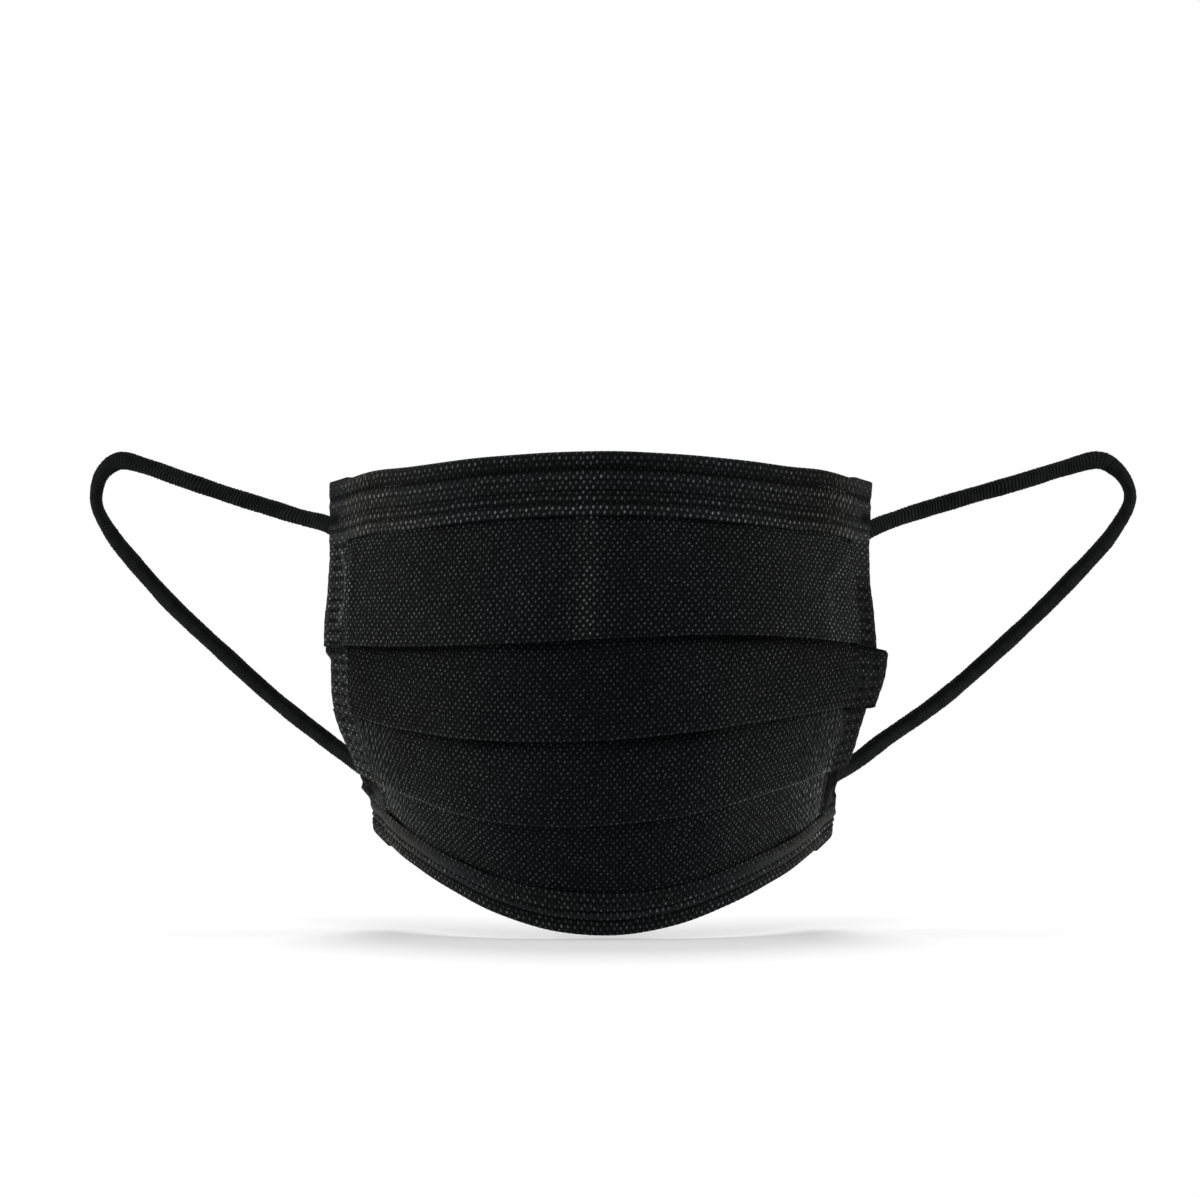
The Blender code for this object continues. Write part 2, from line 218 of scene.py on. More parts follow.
def unit(vectors):
    return vectors / np.maximum(np.linalg.norm(vectors, axis=-1, keepdims=True), 1e-12)


def outward(share, row, step=0.001):
    across = outer_face(share + step, row) - outer_face(share - step, row)
    up = outer_face(share, row - step) - outer_face(share, row + step)
    return unit(np.cross(across, up))


def face_point(share, row, lift):
    return outer_face(share, row) + outward(share, row) * lift[..., None] - NOSE_REST


class Sections:
    """Upright cuts through the mask, one for each share. A run is the length down the outer face
    from the top edge."""

    def __init__(self, shares, steps=400):
        self.shares = np.asarray(shares, float)
        self.rows = np.linspace(0, LAST_ROW, steps + 1)
        points = outer_face(self.shares[:, None], self.rows[None, :])
        lengths = np.linalg.norm(np.diff(points, axis=1), axis=2)
        self.runs = np.concatenate((np.zeros((len(shares), 1)), np.cumsum(lengths, axis=1)), axis=1)
        self.length = self.runs[:, -1]

    def run_at(self, row):
        return np.array([np.interp(row, self.rows, runs) for runs in self.runs])

    def row_at(self, runs):
        return np.array([np.interp(run, table, self.rows) for run, table in zip(runs, self.runs)])


def nose_rest():
    section = Sections([0.0], 180)
    row = section.row_at(np.array([[TOP_HEM_HEIGHT / 2]]))[0, 0]
    return outer_face(0.0, row) + outward(0.0, row) * -HEM_STACK


NOSE_REST = nose_rest()


def cloth_shares(count):
    """Shares from seam to seam, closer together towards the sides."""
    turn = math.radians(62)
    return np.sin(np.linspace(-turn, turn, count)) / math.sin(turn) * CLOTH_SHARE


def across_mm(shares, rows):
    """Length across the cut sheet from its middle, in mm, for grids of shares and rows."""
    fine = np.linspace(-1, 1, 401)
    row_list = np.linspace(0, LAST_ROW, 61)
    points = outer_face(fine[:, None], row_list[None, :])
    lengths = np.linalg.norm(np.diff(points, axis=0), axis=2)
    arcs = np.concatenate((np.zeros((1, len(row_list))), np.cumsum(lengths, axis=0)))
    arcs = arcs - arcs[200]
    arcs = np.where(arcs < 0, arcs / -arcs[0], arcs / arcs[-1]) * FLAT_HALF_WIDTH
    place = (np.clip(shares, -1, 1) + 1) * 200
    low = np.clip(place.astype(int), 0, 399)
    column = np.clip(np.rint(rows / LAST_ROW * 60).astype(int), 0, 60)
    part = place - low
    inside = arcs[low, column] * (1 - part) + arcs[low + 1, column] * part
    return inside + (shares - np.clip(shares, -1, 1)) * FLAT_HALF_WIDTH


# Meshes

def new_mesh(name, vertices, faces, attributes):
    mesh = bpy.data.meshes.new(name)
    mesh.from_pydata(vertices.tolist(), [], faces)
    for label, values in attributes.items():
        attribute = mesh.attributes.new(label, "FLOAT_VECTOR", "POINT")
        attribute.data.foreach_set("vector", np.asarray(values, np.float32).ravel())
    mesh.shade_smooth()
    mesh.update()
    piece = bpy.data.objects.new(name, mesh)
    bpy.context.scene.collection.objects.link(piece)
    return piece


def closed_sheet(name, middle, thickness, attributes, back=None):
    """A sheet with two sides and a rim, from the grid of points in its middle: columns from left
    to right and, in each, points down the cloth. With back, the grid is the front side."""
    columns, count = middle.shape[:2]
    if back is None:
        across = np.gradient(middle, axis=0)
        down = np.gradient(middle, axis=1)
        normal = unit(np.cross(down, across))
        front = middle + normal * thickness / 2
        back = middle - normal * thickness / 2
    else:
        front = middle
    vertices = np.concatenate((front.reshape(-1, 3), back.reshape(-1, 3)))
    index = np.arange(columns * count).reshape(columns, count)
    under = index + columns * count
    a, b, c, d = index[:-1, :-1], index[1:, :-1], index[1:, 1:], index[:-1, 1:]
    shift = columns * count
    parts = [
        np.stack((a, d, c, b), axis=-1),
        np.stack((a, b, c, d), axis=-1) + shift,
        np.stack((index[:-1, 0], index[1:, 0], under[1:, 0], under[:-1, 0]), axis=-1),
        np.stack((index[1:, -1], index[:-1, -1], under[:-1, -1], under[1:, -1]), axis=-1),
        np.stack((index[0, :-1], under[0, :-1], under[0, 1:], index[0, 1:]), axis=-1),
        np.stack((index[-1, 1:], under[-1, 1:], under[-1, :-1], index[-1, :-1]), axis=-1),
    ]
    faces = np.concatenate([part.reshape(-1, 4) for part in parts]).tolist()
    doubled = {
        label: np.concatenate((values.reshape(-1, 3), values.reshape(-1, 3)))
        for label, values in attributes.items()
    }
    return new_mesh(name, vertices, faces, doubled)


# The pleated panel

DOT_PITCH = 1.77  # mm, between bond points in one row
ROW_PITCH = 2.10  # mm, between rows of the same phase; the rows between them are staggered

Puff = namedtuple("Puff", "pleat share reach height")
PUFFS = (  # where a pleat's edge stands away from the strip below it, heights in mm
    Puff(0, -0.70, 0.24, 1.5),
    Puff(0, 0.50, 0.35, 1.3),
    Puff(0, -0.25, 0.14, 0.8),
    Puff(1, -0.38, 0.17, 1.0),
    Puff(1, 0.27, 0.17, 1.1),
    Puff(2, -0.20, 0.20, 0.3),
    Puff(2, 0.25, 0.20, 0.3),
)

GapShadow = namedtuple("GapShadow", "pleat share reach depth drop")
GAP_SHADOWS = (  # painted shadow under a pleat's edge, by how far it reaches down in mm
    GapShadow(0, -0.68, 0.26, 0.95, 1.9),
    GapShadow(0, -0.24, 0.15, 0.40, 2.6),
    GapShadow(0, 0.52, 0.38, 0.95, 2.2),
    GapShadow(1, -0.43, 0.20, 0.80, 2.6),
    GapShadow(1, -0.75, 0.20, 0.45, 2.0),
    GapShadow(1, 0.27, 0.20, 0.85, 2.8),
    GapShadow(1, 0.68, 0.20, 0.40, 1.8),
    GapShadow(2, -0.30, 0.40, 0.30, 1.2),
    GapShadow(2, 0.30, 0.40, 0.30, 1.2),
)

Dent = namedtuple("Dent", "name s t reach_s reach_t height")
DENTS = (  # soft forms of the cloth, in mm across and down the sheet
    Dent("centre crease", CREASE_S, 40, 2.4, 55, 0.40),
    Dent("hollow right of the crease", 5.5, 45, 5.0, 60, -0.30),
    Dent("hollow left of the crease", -12.0, 45, 5.5, 60, -0.12),
    Dent("ripple above pleat 1, left", -24, 43.5, 16, 1.3, 0.28),
    Dent("ripple above pleat 1, left", -20, 46.0, 18, 1.1, -0.22),
    Dent("ripple above pleat 1, right", 22, 42.5, 13, 1.3, 0.28),
    Dent("ripple above pleat 1, right", 24, 45.0, 14, 1.1, -0.22),
    Dent("ripple below pleat 1", -20, 60.0, 12, 1.8, -0.30),
    Dent("puff by the left seam", -78.5, 34, 1.8, 10, 0.60),
    Dent("puff by the left seam, upper", -77.5, 20, 2.2, 8, 0.35),
    Dent("puff by the right seam", 77.5, 32, 3.0, 9, 0.60),
    Dent("fold from the right seam", 72.0, 27, 3.5, 5, 0.45),
)

Wave = namedtuple("Wave", "pitch_s pitch_t phase height")
WAVES = (  # slow unevenness of the whole sheet, in mm
    Wave(61, 83, 0.4, 0.28),
    Wave(34, -47, 2.1, 0.18),
    Wave(23, 29, 4.4, 0.10),
    Wave(-15, 21, 1.2, 0.05),
    Wave(9, -13, 3.3, 0.025),
)


def relief(s, t):
    """How far the panel stands out from its smooth shape, in metres."""
    height = np.zeros_like(s)
    for wave in WAVES:
        height += wave.height * np.sin(2 * math.pi * (s / wave.pitch_s + t / wave.pitch_t) + wave.phase)
    for dent in DENTS:
        height += dent.height * hill(s, dent.s, dent.reach_s) * hill(t, dent.t, dent.reach_t)
    gathers = 0.16 * np.cos(2 * math.pi * s / DOT_PITCH) * ease(np.abs(s), 58, 74) * ease(t, 105, 125)
    return (height + gathers) * MM * (1 - ease(np.abs(s), 79.0, 81.0))


def panel_shade(s, t, run, shares, ends):
    """(tone, ground, stretch, warmth) of the panel: how light its bond points and its plain cloth
    are, with painted light and shade, how long the points are, and how warm the colour is. Ends
    are the runs of the strips' ends."""
    # painted highlight along the centre crease, on the bond points and the cloth, a little warmer
    crease = hill(s, CREASE_S, 3.0) * (1 - ease(t, 55, 75))
    # painted shade on the flank right of the crease
    right = hill(s, 7.5, 7.0) * (1 - ease(t, 60, 90))
    # painted shade over the lower middle
    low_middle = hill(s, 2, 32) * ease(t, 47, 52)
    # painted sheen: lighter towards the sides
    sides = ease(np.abs(s), 25, 80)
    # a little darker over the upper right
    right_side = hill(s, 40, 22) * (1 - ease(t, 60, 75))
    # painted highlight along soft ridges by the seams
    ridge = hill(s, -80.0 + 1.5 * hill(t, 33, 9), 0.9) * ease(t, 20, 26) * (t < 49)
    bend_s = 80 - 10 * ease(t, 21, 35)  # a soft bend by the right seam, with a painted highlight on its outer side
    ridge = ridge + (hill(s, bend_s, 1.2) + 0.5 * ease(s, bend_s, bend_s + 2.0)) * ease(t, 18, 24) * (t < 49)
    # on the lower strips the sides are painted darker instead, as shade
    strips = ease(t, 47, 51) * (1 - ease(t, 125, 150))
    tone = 1 + 1.1 * crease - 0.15 * right - 0.12 * right_side + 0.25 * sides + 1.2 * ridge
    tone = tone * (1 - 0.40 * low_middle) * (1 - 0.40 * strips * sides)
    ground = 1 + 0.55 * crease - 0.10 * right - 0.10 * right_side + 0.45 * sides + 1.0 * ridge
    ground = ground * (1 - 0.25 * low_middle) * (1 - 0.45 * strips * sides)
    dark = np.ones_like(s)  # cloth in the shadow of an edge above it
    for strip, at_side, reach in ((1, 0.35, 1.2), (2, 0.50, 1.9), (3, 0.40, 1.2)):
        below = (run - ends[strip - 1][:, None]) / MM
        under = (t > PLEAT_EDGES_T[strip - 1] + 1) * (below < 12)
        # painted contact shadow just under each pleat's edge, deeper towards the sides
        contact = (0.12 + at_side * np.minimum(np.abs(shares / PANEL_SHARE), 1) ** 2)[:, None]
        dark = dark * (1 - contact * (1 - ease(below, 0.2, reach)) * under)
        # painted shadows where a pleat's edge stands open
        for gap_shadow in GAP_SHADOWS:
            if gap_shadow.pleat == strip - 1:
                there = gap_shadow.depth * hill(shares, gap_shadow.share, gap_shadow.reach)[:, None]
                dark = dark * (1 - there * (1 - ease(below, 0.45 * gap_shadow.drop, 1.25 * gap_shadow.drop)) * under)
    # painted shadow under the top hem's free edge, across the middle and right
    below_hem = (run - TOP_HEM_DROP) / MM
    dark = dark * (1 - 0.5 * (1 - ease(below_hem, 0.2, 1.6)) * ease(s, -70, -20) * (1 - ease(s, 30, 75)))
    # painted shadow along the bottom hem's upper edge
    above_hem = (ends[3][:, None] - run) / MM
    dark = dark * (1 - 0.35 * (1 - ease(above_hem, 0.2, 1.0)))
    edge = np.zeros_like(s)  # painted highlight along a pleat's fold
    for pleat, at_middle, at_side in ((0, 0.3, 0.4), (1, 0.5, 1.4), (2, 1.0, 3.8)):
        above = (ends[pleat][:, None] - run) / MM
        strength = at_middle + (at_side - at_middle) * ease(np.abs(s), 25, 60)
        edge = edge + strength * hill(above, 0.4, 0.5) * (t < PLEAT_EDGES_T[pleat] + 1)
    # painted light and shade across the fine gathers by the seams
    gather = np.cos(2 * math.pi * s / DOT_PITCH) * ease(np.abs(s), 60, 75) * ease(t, 104, 122)
    # painted sheen over the lower sides by the seams
    fan = ease(np.abs(s), 64, 80) * ease(t, 102, 118)
    ground = ground * (1 + 0.9 * edge) * (1 + 0.9 * gather) * (1 + 0.7 * fan) * dark
    tone = tone * (1 + 0.3 * edge) * (1 + 0.85 * gather) * (1 + 0.3 * fan) * (0.08 + 0.92 * dark)
    stretch = 1 + 1.1 * ease(np.abs(s), 56, 78) * ease(t, 100, 125)
    warmth = 0.12 + 0.75 * ease(np.abs(s), 15, 50) - 0.1 * low_middle + 0.6 * crease
    return tone, ground, stretch, warmth


def pleated_sheet():
    shares = cloth_shares(201)
    sections = Sections(shares)
    across = np.abs(shares / PANEL_SHARE)
    radius = FOLD_AT_MIDDLE + (FOLD_AT_SIDE - FOLD_AT_MIDDLE) * np.minimum(across, 1) ** 2
    tuck = TUCK_AT_MIDDLE + (TUCK_AT_SIDE - TUCK_AT_MIDDLE) * np.minimum(across, 1) ** 2
    face = -CLOTH / 2
    hemmed = -(HEM_CLOTH + CLOTH / 2 + 0.0001)
    starts = [np.full(len(shares), TOP_HEM_DROP)]
    starts += [sections.run_at(row) for row in PLEAT_ROWS]
    ends = starts[1:] + [sections.length - low_hem_height(shares)]
    edge_t = PLEAT_EDGES_T + (SHEET_END_T,)

    def puff(pleat):
        height = np.zeros(len(shares))
        for item in PUFFS:
            if item.pleat == pleat:
                height += item.height * MM * hill(shares, item.share, item.reach)
        return height

    def strip_lift(strip, run):
        start_lift = face - 4 * radius if strip else np.full(len(shares), hemmed)
        end_lift = face + puff(strip) * 0.6 if strip < 3 else np.full(len(shares), hemmed)
        part = np.clip((run - starts[strip]) / (ends[strip] - starts[strip]), 0, 1)
        if not strip:
            part = np.minimum(part * (1 + 6 * across ** 8), 1)
        inside = start_lift + (end_lift - start_lift) * np.sin(part * math.pi / 2)
        if not strip:
            return inside
        sunk = puff(strip - 1) * 0.8 * (1 - ease(part, 0.0, 0.35))
        above = strip_lift(strip - 1, np.minimum(run, ends[strip - 1])) - 4 * radius - sunk
        return np.where(run <= starts[strip], above, inside - sunk)

    def strip_t(strip, run):
        if strip == 0:
            return edge_t[0] * run / ends[0]
        if strip == 3:
            return edge_t[3] - (sections.length - run) / MM
        return edge_t[strip] - (ends[strip] - run) / MM

    points = []  # run, lift and t of each point down the sheet
    for run in np.linspace(HEM_MARGIN, TOP_HEM_DROP - UNDER_HEM, 7):
        runs = np.full(len(shares), run)
        points.append((runs, np.full(len(shares), hemmed), strip_t(0, runs)))
    top = starts[0]
    for strip in range(3):
        turn_run = ends[strip] - radius - CLOTH / 2
        for part in np.linspace(0, 1, 36):
            run = top + (turn_run - top) * (0.35 * part + 0.65 * ease(part, 0, 1))
            points.append((run, strip_lift(strip, run), strip_t(strip, run)))
        lift = points[-1][1]
        t = points[-1][2]
        for angle in np.radians((25, 50, 75, 100, 125, 150)):
            points.append((
                turn_run + radius * math.sin(angle),
                lift - radius * (1 - math.cos(angle)),
                t + radius / MM * angle,
            ))
        tuck_run = ends[strip] - tuck
        t = points[-1][2]
        for part in np.linspace(0, 1, 7):
            run = turn_run + (tuck_run - turn_run) * part
            points.append((run, strip_lift(strip, run) - 2 * radius, t + (turn_run - run) / MM))
        lift = points[-1][1]
        for angle in np.radians((45, 90, 135)):
            points.append((
                tuck_run - radius * math.sin(angle),
                lift - radius * (1 - math.cos(angle)),
                points[-1][2] + 0.3,
            ))
        for part in np.linspace(0, 1, 5)[:-1]:
            run = tuck_run + (ends[strip] - tuck_run) * part
            points.append((run, strip_lift(strip + 1, run), strip_t(strip + 1, run)))
        top = ends[strip]
    for part in np.linspace(0, 1, 34):
        run = top + (ends[3] + UNDER_HEM - top) * (0.35 * part + 0.65 * ease(part, 0, 1))
        points.append((run, strip_lift(3, run), strip_t(3, run)))
    for height in np.linspace(SEAM_HEM - 0.0016, HEM_MARGIN, 6):
        run = sections.length - height
        points.append((run, np.full(len(shares), hemmed), strip_t(3, run)))

    run, lift, t = (np.stack([point[item] for point in points], axis=1) for item in range(3))
    rows = sections.row_at(run)
    grid = np.broadcast_to(shares[:, None], rows.shape)
    s = across_mm(grid, rows)
    side_press = ease(np.abs(shares), PANEL_SHARE - 0.035, PANEL_SHARE + 0.010)[:, None]
    lift = lift + relief(s, t) - side_press * 0.00025
    middle = face_point(grid, rows, lift)

    tone, ground, stretch, warmth = panel_shade(s, t, run, shares, ends)
    attributes = {
        "Cloth": np.stack((s, t, warmth), axis=-1),
        "Shade": np.stack((tone, ground, stretch), axis=-1),
    }
    return closed_sheet("pleated_panel_cloth", middle, CLOTH, attributes)


# The hems

Rib = namedtuple("Rib", "height reach lift tone ground")
TOP_RIBS = (  # weld lines and rolls of the top hem, by height below the edge, in mm
    Rib(2.3, 0.45, 0.10, 0.4, 0.3),
    Rib(3.1, 0.35, -0.06, -0.4, -0.3),
    Rib(5.2, 0.85, -0.34, -0.85, -0.75),
    Rib(7.3, 0.50, 0.12, 1.3, 0.9),
    Rib(8.3, 0.30, -0.06, -0.3, -0.2),
    Rib(9.4, 0.60, 0.04, 0.3, 0.3),
    Rib(11.3, 0.40, -0.22, -0.7, -0.6),
    Rib(12.5, 0.30, -0.08, -0.6, -0.4),
    Rib(13.4, 0.40, 0.08, 0.8, 0.4),
    Rib(14.5, 0.50, -0.20, -0.8, -0.55),
    Rib(16.0, 0.50, 0.10, 1.5, 0.8),
    Rib(17.2, 0.45, 0.12, 1.2, 0.6),
)
BOTTOM_RIBS = (  # the same for the bottom hem, by height above its edge
    Rib(2.4, 0.45, 0.10, 0.6, 0.3),
    Rib(3.3, 0.35, -0.12, -0.5, -0.3),
    Rib(4.8, 0.50, -0.36, -0.95, -0.85),
    Rib(5.95, 0.50, 0.16, 1.4, 1.5),
    Rib(6.95, 0.45, -0.34, -0.85, -0.75),
)
MIDDLE_RIBS = (  # only in the middle of the bottom hem
    Rib(8.3, 0.45, 0.12, 1.0, 0.5),
    Rib(9.3, 0.35, -0.14, -0.5, -0.3),
)
SMOOTH_ROLL = (Rib(9.1, 1.00, 0.42, -0.75, 2.6),)  # and towards its ends
TOP_ROWS = 0.76  # rows of bond points lie further apart on the hems, by these factors
BOTTOM_ROWS = 0.80
SEAM_HEM = 0.0110  # the bottom hem's height where it runs through a seam


def low_hem_height(shares):
    """The bottom hem is taller in its middle than near the seams."""
    across = np.abs(shares)
    return (
        BOTTOM_HEM_HEIGHT
        + 0.0012 * hill(across, 0, 0.35)
        - (BOTTOM_HEM_HEIGHT - SEAM_HEM) * ease(across, 0.55, 0.85)
    )


def ribbed(ribs, t, s):
    """(height in mm, tone, ground) of a hem's weld lines, t mm from its edge."""
    height = np.zeros_like(s)
    tone = np.ones_like(s)
    ground = np.ones_like(s)
    for rib in ribs:
        line = hill(t, rib.height + 0.12 * np.sin(s / 11.0 + rib.height), rib.reach)
        height = height + rib.lift * line
        tone = tone + rib.tone * line
        ground = ground + rib.ground * line
    return height, tone, ground


def hem_sheet(name, height, at_top, ribs):
    shares = cloth_shares(261)
    sections = Sections(shares)
    radius = (HEM_STACK - HEM_CLOTH) / 2
    spots = [(h, -HEM_CLOTH / 2, h / MM) for h in np.linspace(height, radius + HEM_CLOTH / 2, 64)]
    edge = spots[-1][0]
    for angle in np.radians(np.arange(15, 180, 15)):
        spots.append((
            edge - radius * math.sin(angle),
            -HEM_CLOTH / 2 - radius * (1 - math.cos(angle)),
            (edge - radius * angle) / MM,
        ))
    for part in np.linspace(0, 1, 26):
        h = edge + (height - edge) * part
        settle = ease(h, height * 0.62, height) * (HEM_STACK - HEM_EDGE_STACK)
        spots.append((h, -HEM_STACK + HEM_CLOTH / 2 + settle, (2 * edge - radius * math.pi - h) / MM))
    h, lift, t = (np.array([spot[item] for spot in spots])[None, :] for item in range(3))
    h = np.broadcast_to(h, (len(shares), h.shape[1]))
    if not at_top:
        h = h * (low_hem_height(shares) / height)[:, None]
    runs = h if at_top else sections.length[:, None] - h
    rows = sections.row_at(runs)
    grid = np.broadcast_to(shares[:, None], rows.shape)
    s = across_mm(grid, rows)
    sides = ease(np.abs(s), 30, 78)
    front = (lift > -HEM_STACK / 2) * np.ones_like(s)
    relief_mm, tone, ground = ribbed(ribs, t, s)
    relief_mm = relief_mm * front
    if not at_top:
        ends = ease(np.abs(s), 22, 62)
        for special, weight in ((MIDDLE_RIBS, 1 - ends), (SMOOTH_ROLL, ends)):
            more_height, more_tone, more_ground = ribbed(special, t, s)
            relief_mm = relief_mm + more_height * weight * front
            tone = tone + (more_tone - 1) * weight
            ground = ground + (more_ground - 1) * weight
    # painted highlight along the centre crease of the top hem
    crease = hill(s, CREASE_S, 3.0) if at_top else np.zeros_like(s)
    # painted shade right of the crease on the top hem, and over the middle of the bottom hem
    right = hill(s, 9, 9) if at_top else 0.4 * hill(s, 2, 30)
    # lighter at the hem's ends
    tip = ease(np.abs(s), 71, 79)
    # painted sheen: tone and ground rise towards the sides
    tone = np.maximum(tone, 0.05) * (1 + 0.9 * crease - 0.25 * right + 0.25 * sides)
    # the top hem is darker towards its right end, less so at the tip
    darker = 1 - 0.58 * ease(s, 30, 66) * (1 - 0.5 * tip) if at_top else 1.0
    tone = tone * (0.5 + 0.5 * darker)
    ground = darker * np.maximum(ground, 0.15) * (1.15 + 0.1 * crease - 0.2 * right + 1.1 * sides + 0.7 * tip)
    warmth = 0.35 + 0.65 * sides
    beads = 0.05 * np.sin(2 * math.pi * s / 1.78) * hill(t, 0, 2.5)
    uneven = 0.10 * np.sin(s / 7.3 + 1.0) + 0.06 * np.sin(s / 3.1)
    lift = lift + (relief_mm + beads + uneven * front) * MM
    if not at_top:
        lift = lift + 0.25 * MM * np.sin(s / 9.0) * hill(t, 11, 3) * front
    middle = face_point(grid, rows, lift)
    t = np.broadcast_to(t, rows.shape) * (TOP_ROWS if at_top else BOTTOM_ROWS) + 0.44 * at_top
    stretch = 1 + 0.8 * ease(np.abs(s), 64, 76)
    if not at_top:
        flipped = (middle, s, t, tone, ground, warmth, stretch)
        middle, s, t, tone, ground, warmth, stretch = (values[:, ::-1] for values in flipped)
    attributes = {
        "Cloth": np.stack((s, t, warmth), axis=-1),
        "Shade": np.stack((tone, ground, stretch), axis=-1),
    }
    return closed_sheet(name, middle, HEM_CLOTH, attributes)


# The welded side seams

DASH_PITCH = 2.95  # mm, from one pressed dash to the next
WELD_DOWN = 11.0  # mm down the seam to where the upper end of a loop is welded behind it
FOLD_UP = 13.0  # mm up the seam to a fold above the bottom hem, with painted shade in it
PUCKER_UP = 14.3  # and to a small smooth pucker, a lens with a dark outline, beside that fold


def seam_strip(name, side, flares):
    """The welded strip down one side, with pressed dashes: side is -1 for left and 1 for right."""
    edges = (0,) + PLEAT_ROWS + (LAST_ROW,)
    rows = []
    lifts = []
    edge_shares = []
    for strip, flare in enumerate(flares):
        first_row = edges[strip] + (0.02 if strip else 0)
        for part in np.linspace(0, 1, 80 if strip == 0 else 50):
            last_row = edges[strip + 1] + (0.08 if flare.top > 0.3 else 0.03) * (strip < 3)
            rows.append(first_row + (last_row - first_row) * part)
            lifts.append(-SEAM_STEP * (1 - math.sin(part * math.pi / 2)) if strip else 0.0)
            corner = 1 - 0.14 * (1 - ease(part, 0.0, 0.05)) * (flare.top > 0.3)
            stand = (flare.top + (flare.bottom - flare.top) * part) * corner
            stand = stand + flare.bump * (1 - ease(part, flare.bump_end - 0.06, flare.bump_end + 0.07))
            edge_shares.append(1 + stand * SEAM_WIDTH / (FRONT_WIDTH / 2))
    rows = np.array(rows)
    lifts = np.array(lifts)
    edge_shares = np.array(edge_shares)
    parts = np.linspace(0, 1, 26)
    shares = SEAM_INNER_SHARE + (edge_shares[None, :] - SEAM_INNER_SHARE) * parts[:, None]
    rows = np.broadcast_to(rows, shares.shape)
    base = outer_face(side * shares, rows)
    steps = np.linalg.norm(np.diff(base[13], axis=0), axis=1)
    down = np.concatenate(([0.0], np.cumsum(steps))) / MM
    down = np.broadcast_to(down, shares.shape)
    up = down[0, -1] - down
    part = np.broadcast_to(parts[:, None], shares.shape)
    s = across_mm(side * shares, rows)
    at_top = 1 - ease(down, 17.0, 18.5)  # the hems run on through the seam at its two ends
    at_bottom = 1 - ease(up, SEAM_HEM / MM - 0.2, SEAM_HEM / MM + 0.4)

    patch = np.minimum(1.6 * hill(down, WELD_DOWN, 2.2) ** 2, 1)  # over the weld of a loop's upper end
    grid_weld = np.sin(2 * math.pi * down / 0.8) * np.sin(2 * math.pi * part * 7)
    grid_weld = grid_weld * patch * (1 - ease(part, 0.45, 0.6))
    smooth_weld = patch * ease(part, 0.45, 0.62)

    pucker_part = 0.30 if side < 0 else 0.58
    lens = hill(up, PUCKER_UP, 2.5) * hill(part, pucker_part, 0.18)
    outline = np.maximum(hill(up, PUCKER_UP, 3.6) * hill(part, pucker_part, 0.34) - 1.2 * lens, 0)
    # painted shade in the fold
    fold = ease(up, FOLD_UP, FOLD_UP + 1.5) * (rows > PLEAT_ROWS[2])
    fold = fold * ease(part, 0.12, 0.34) * (1 - 0.9 * lens)

    # a raised ridge down the left seam, with a painted highlight on it
    ridge_part = 0.10 + 0.45 * (1 - ease(down, 13, 30)) + 0.15 * ease(down, 33, 40)
    ridge = hill(part, ridge_part, 0.11) * ease(down, 18, 21) * (1 - ease(down, 39, 42)) * (side < 0)
    pale = (1 - ease(down, 26, 31)) * (side > 0)  # cloth puffs over the right seam's upper part

    dash_row = np.abs((down / DASH_PITCH) % 1 - 0.5)
    columns = hill(part, 0.30, 0.13) + hill(part, 0.66, 0.13) + 0.6 * hill(part, 0.48, 0.2) * (rows < 2)
    dash = (1 - ease(dash_row, 0.13, 0.25)) * np.minimum(columns, 1)
    dash = dash * (1 - patch) * (1 - at_top) * (1 - at_bottom) * (1 - ridge) * (1 - 0.75 * pale)

    under = np.zeros_like(down)  # painted shade line below each pleat's edge, carried on through the seam
    for row in PLEAT_ROWS:
        under = np.maximum(under, hill(rows, row + 0.05, 0.05))
    top_height, top_tone, top_ground = ribbed(TOP_RIBS, down, s)
    low_height, low_tone, low_ground = ribbed(BOTTOM_RIBS + SMOOTH_ROLL, up * BOTTOM_HEM_HEIGHT / SEAM_HEM, s)
    lift = np.broadcast_to(lifts, shares.shape) + (
        -0.30 * dash
        + top_height * at_top
        + low_height * at_bottom
        + 0.08 * grid_weld
        + 0.10 * np.sin(down * 0.55 + side)
        - 0.25 * ease(part, 0.86, 1.0)
        - 1.3 * (1 - ease(part, 0.0, 0.13))
        + 0.06 * np.sin(down * 1.9) * part
        - 0.9 * fold
        + 0.35 * lens
        + 0.30 * ridge
    ) * MM
    front = face_point(side * shares, rows, lift)
    back = outer_face(side * shares, rows) - outward(side * shares, rows) * SEAM_WALL - NOSE_REST
    # painted light: the left seam is much lighter than the right, and both are a little lighter in their
    # upper part
    gain = 2.6 if side < 0 else 0.95 + 0.75 * pale
    tone = gain * (1.2 + 0.2 * (rows < 2)) * (1 - 0.92 * dash) * (1 - 0.9 * fold)
    tone = tone + (1.5 * top_tone - tone) * at_top
    tone = tone + (1.9 * low_tone - tone) * at_bottom
    tone = tone * (1 - 0.9 * smooth_weld) * (1 - 0.8 * lens) * (1 - 0.8 * outline) * (1 - 0.7 * under)
    tone = tone * (1 + 0.5 * ridge)
    ground = gain * 1.5 * (1 - 0.75 * dash) * (1 - 0.85 * fold)
    ground = ground + (3.7 * top_ground - ground) * at_top
    ground = ground + (3.2 * low_ground - ground) * at_bottom
    ground = (ground * (1 - 0.65 * smooth_weld) + 0.5 * grid_weld) * (1 - 0.8 * outline) * (1 - 0.7 * under)
    ground = ground * (1 + 0.9 * ridge) + 4.0 * lens
    attributes = {
        "Cloth": np.stack((s, down, 0.85 - 0.1 * at_top), axis=-1),
        "Shade": np.stack((np.maximum(tone, 0.05), np.maximum(ground, 0.2), np.ones_like(s)), axis=-1),
    }
    if side < 0:
        front = front[::-1]
        back = back[::-1]
        attributes = {label: values[::-1] for label, values in attributes.items()}
    return closed_sheet(name, front, 0, attributes, back)


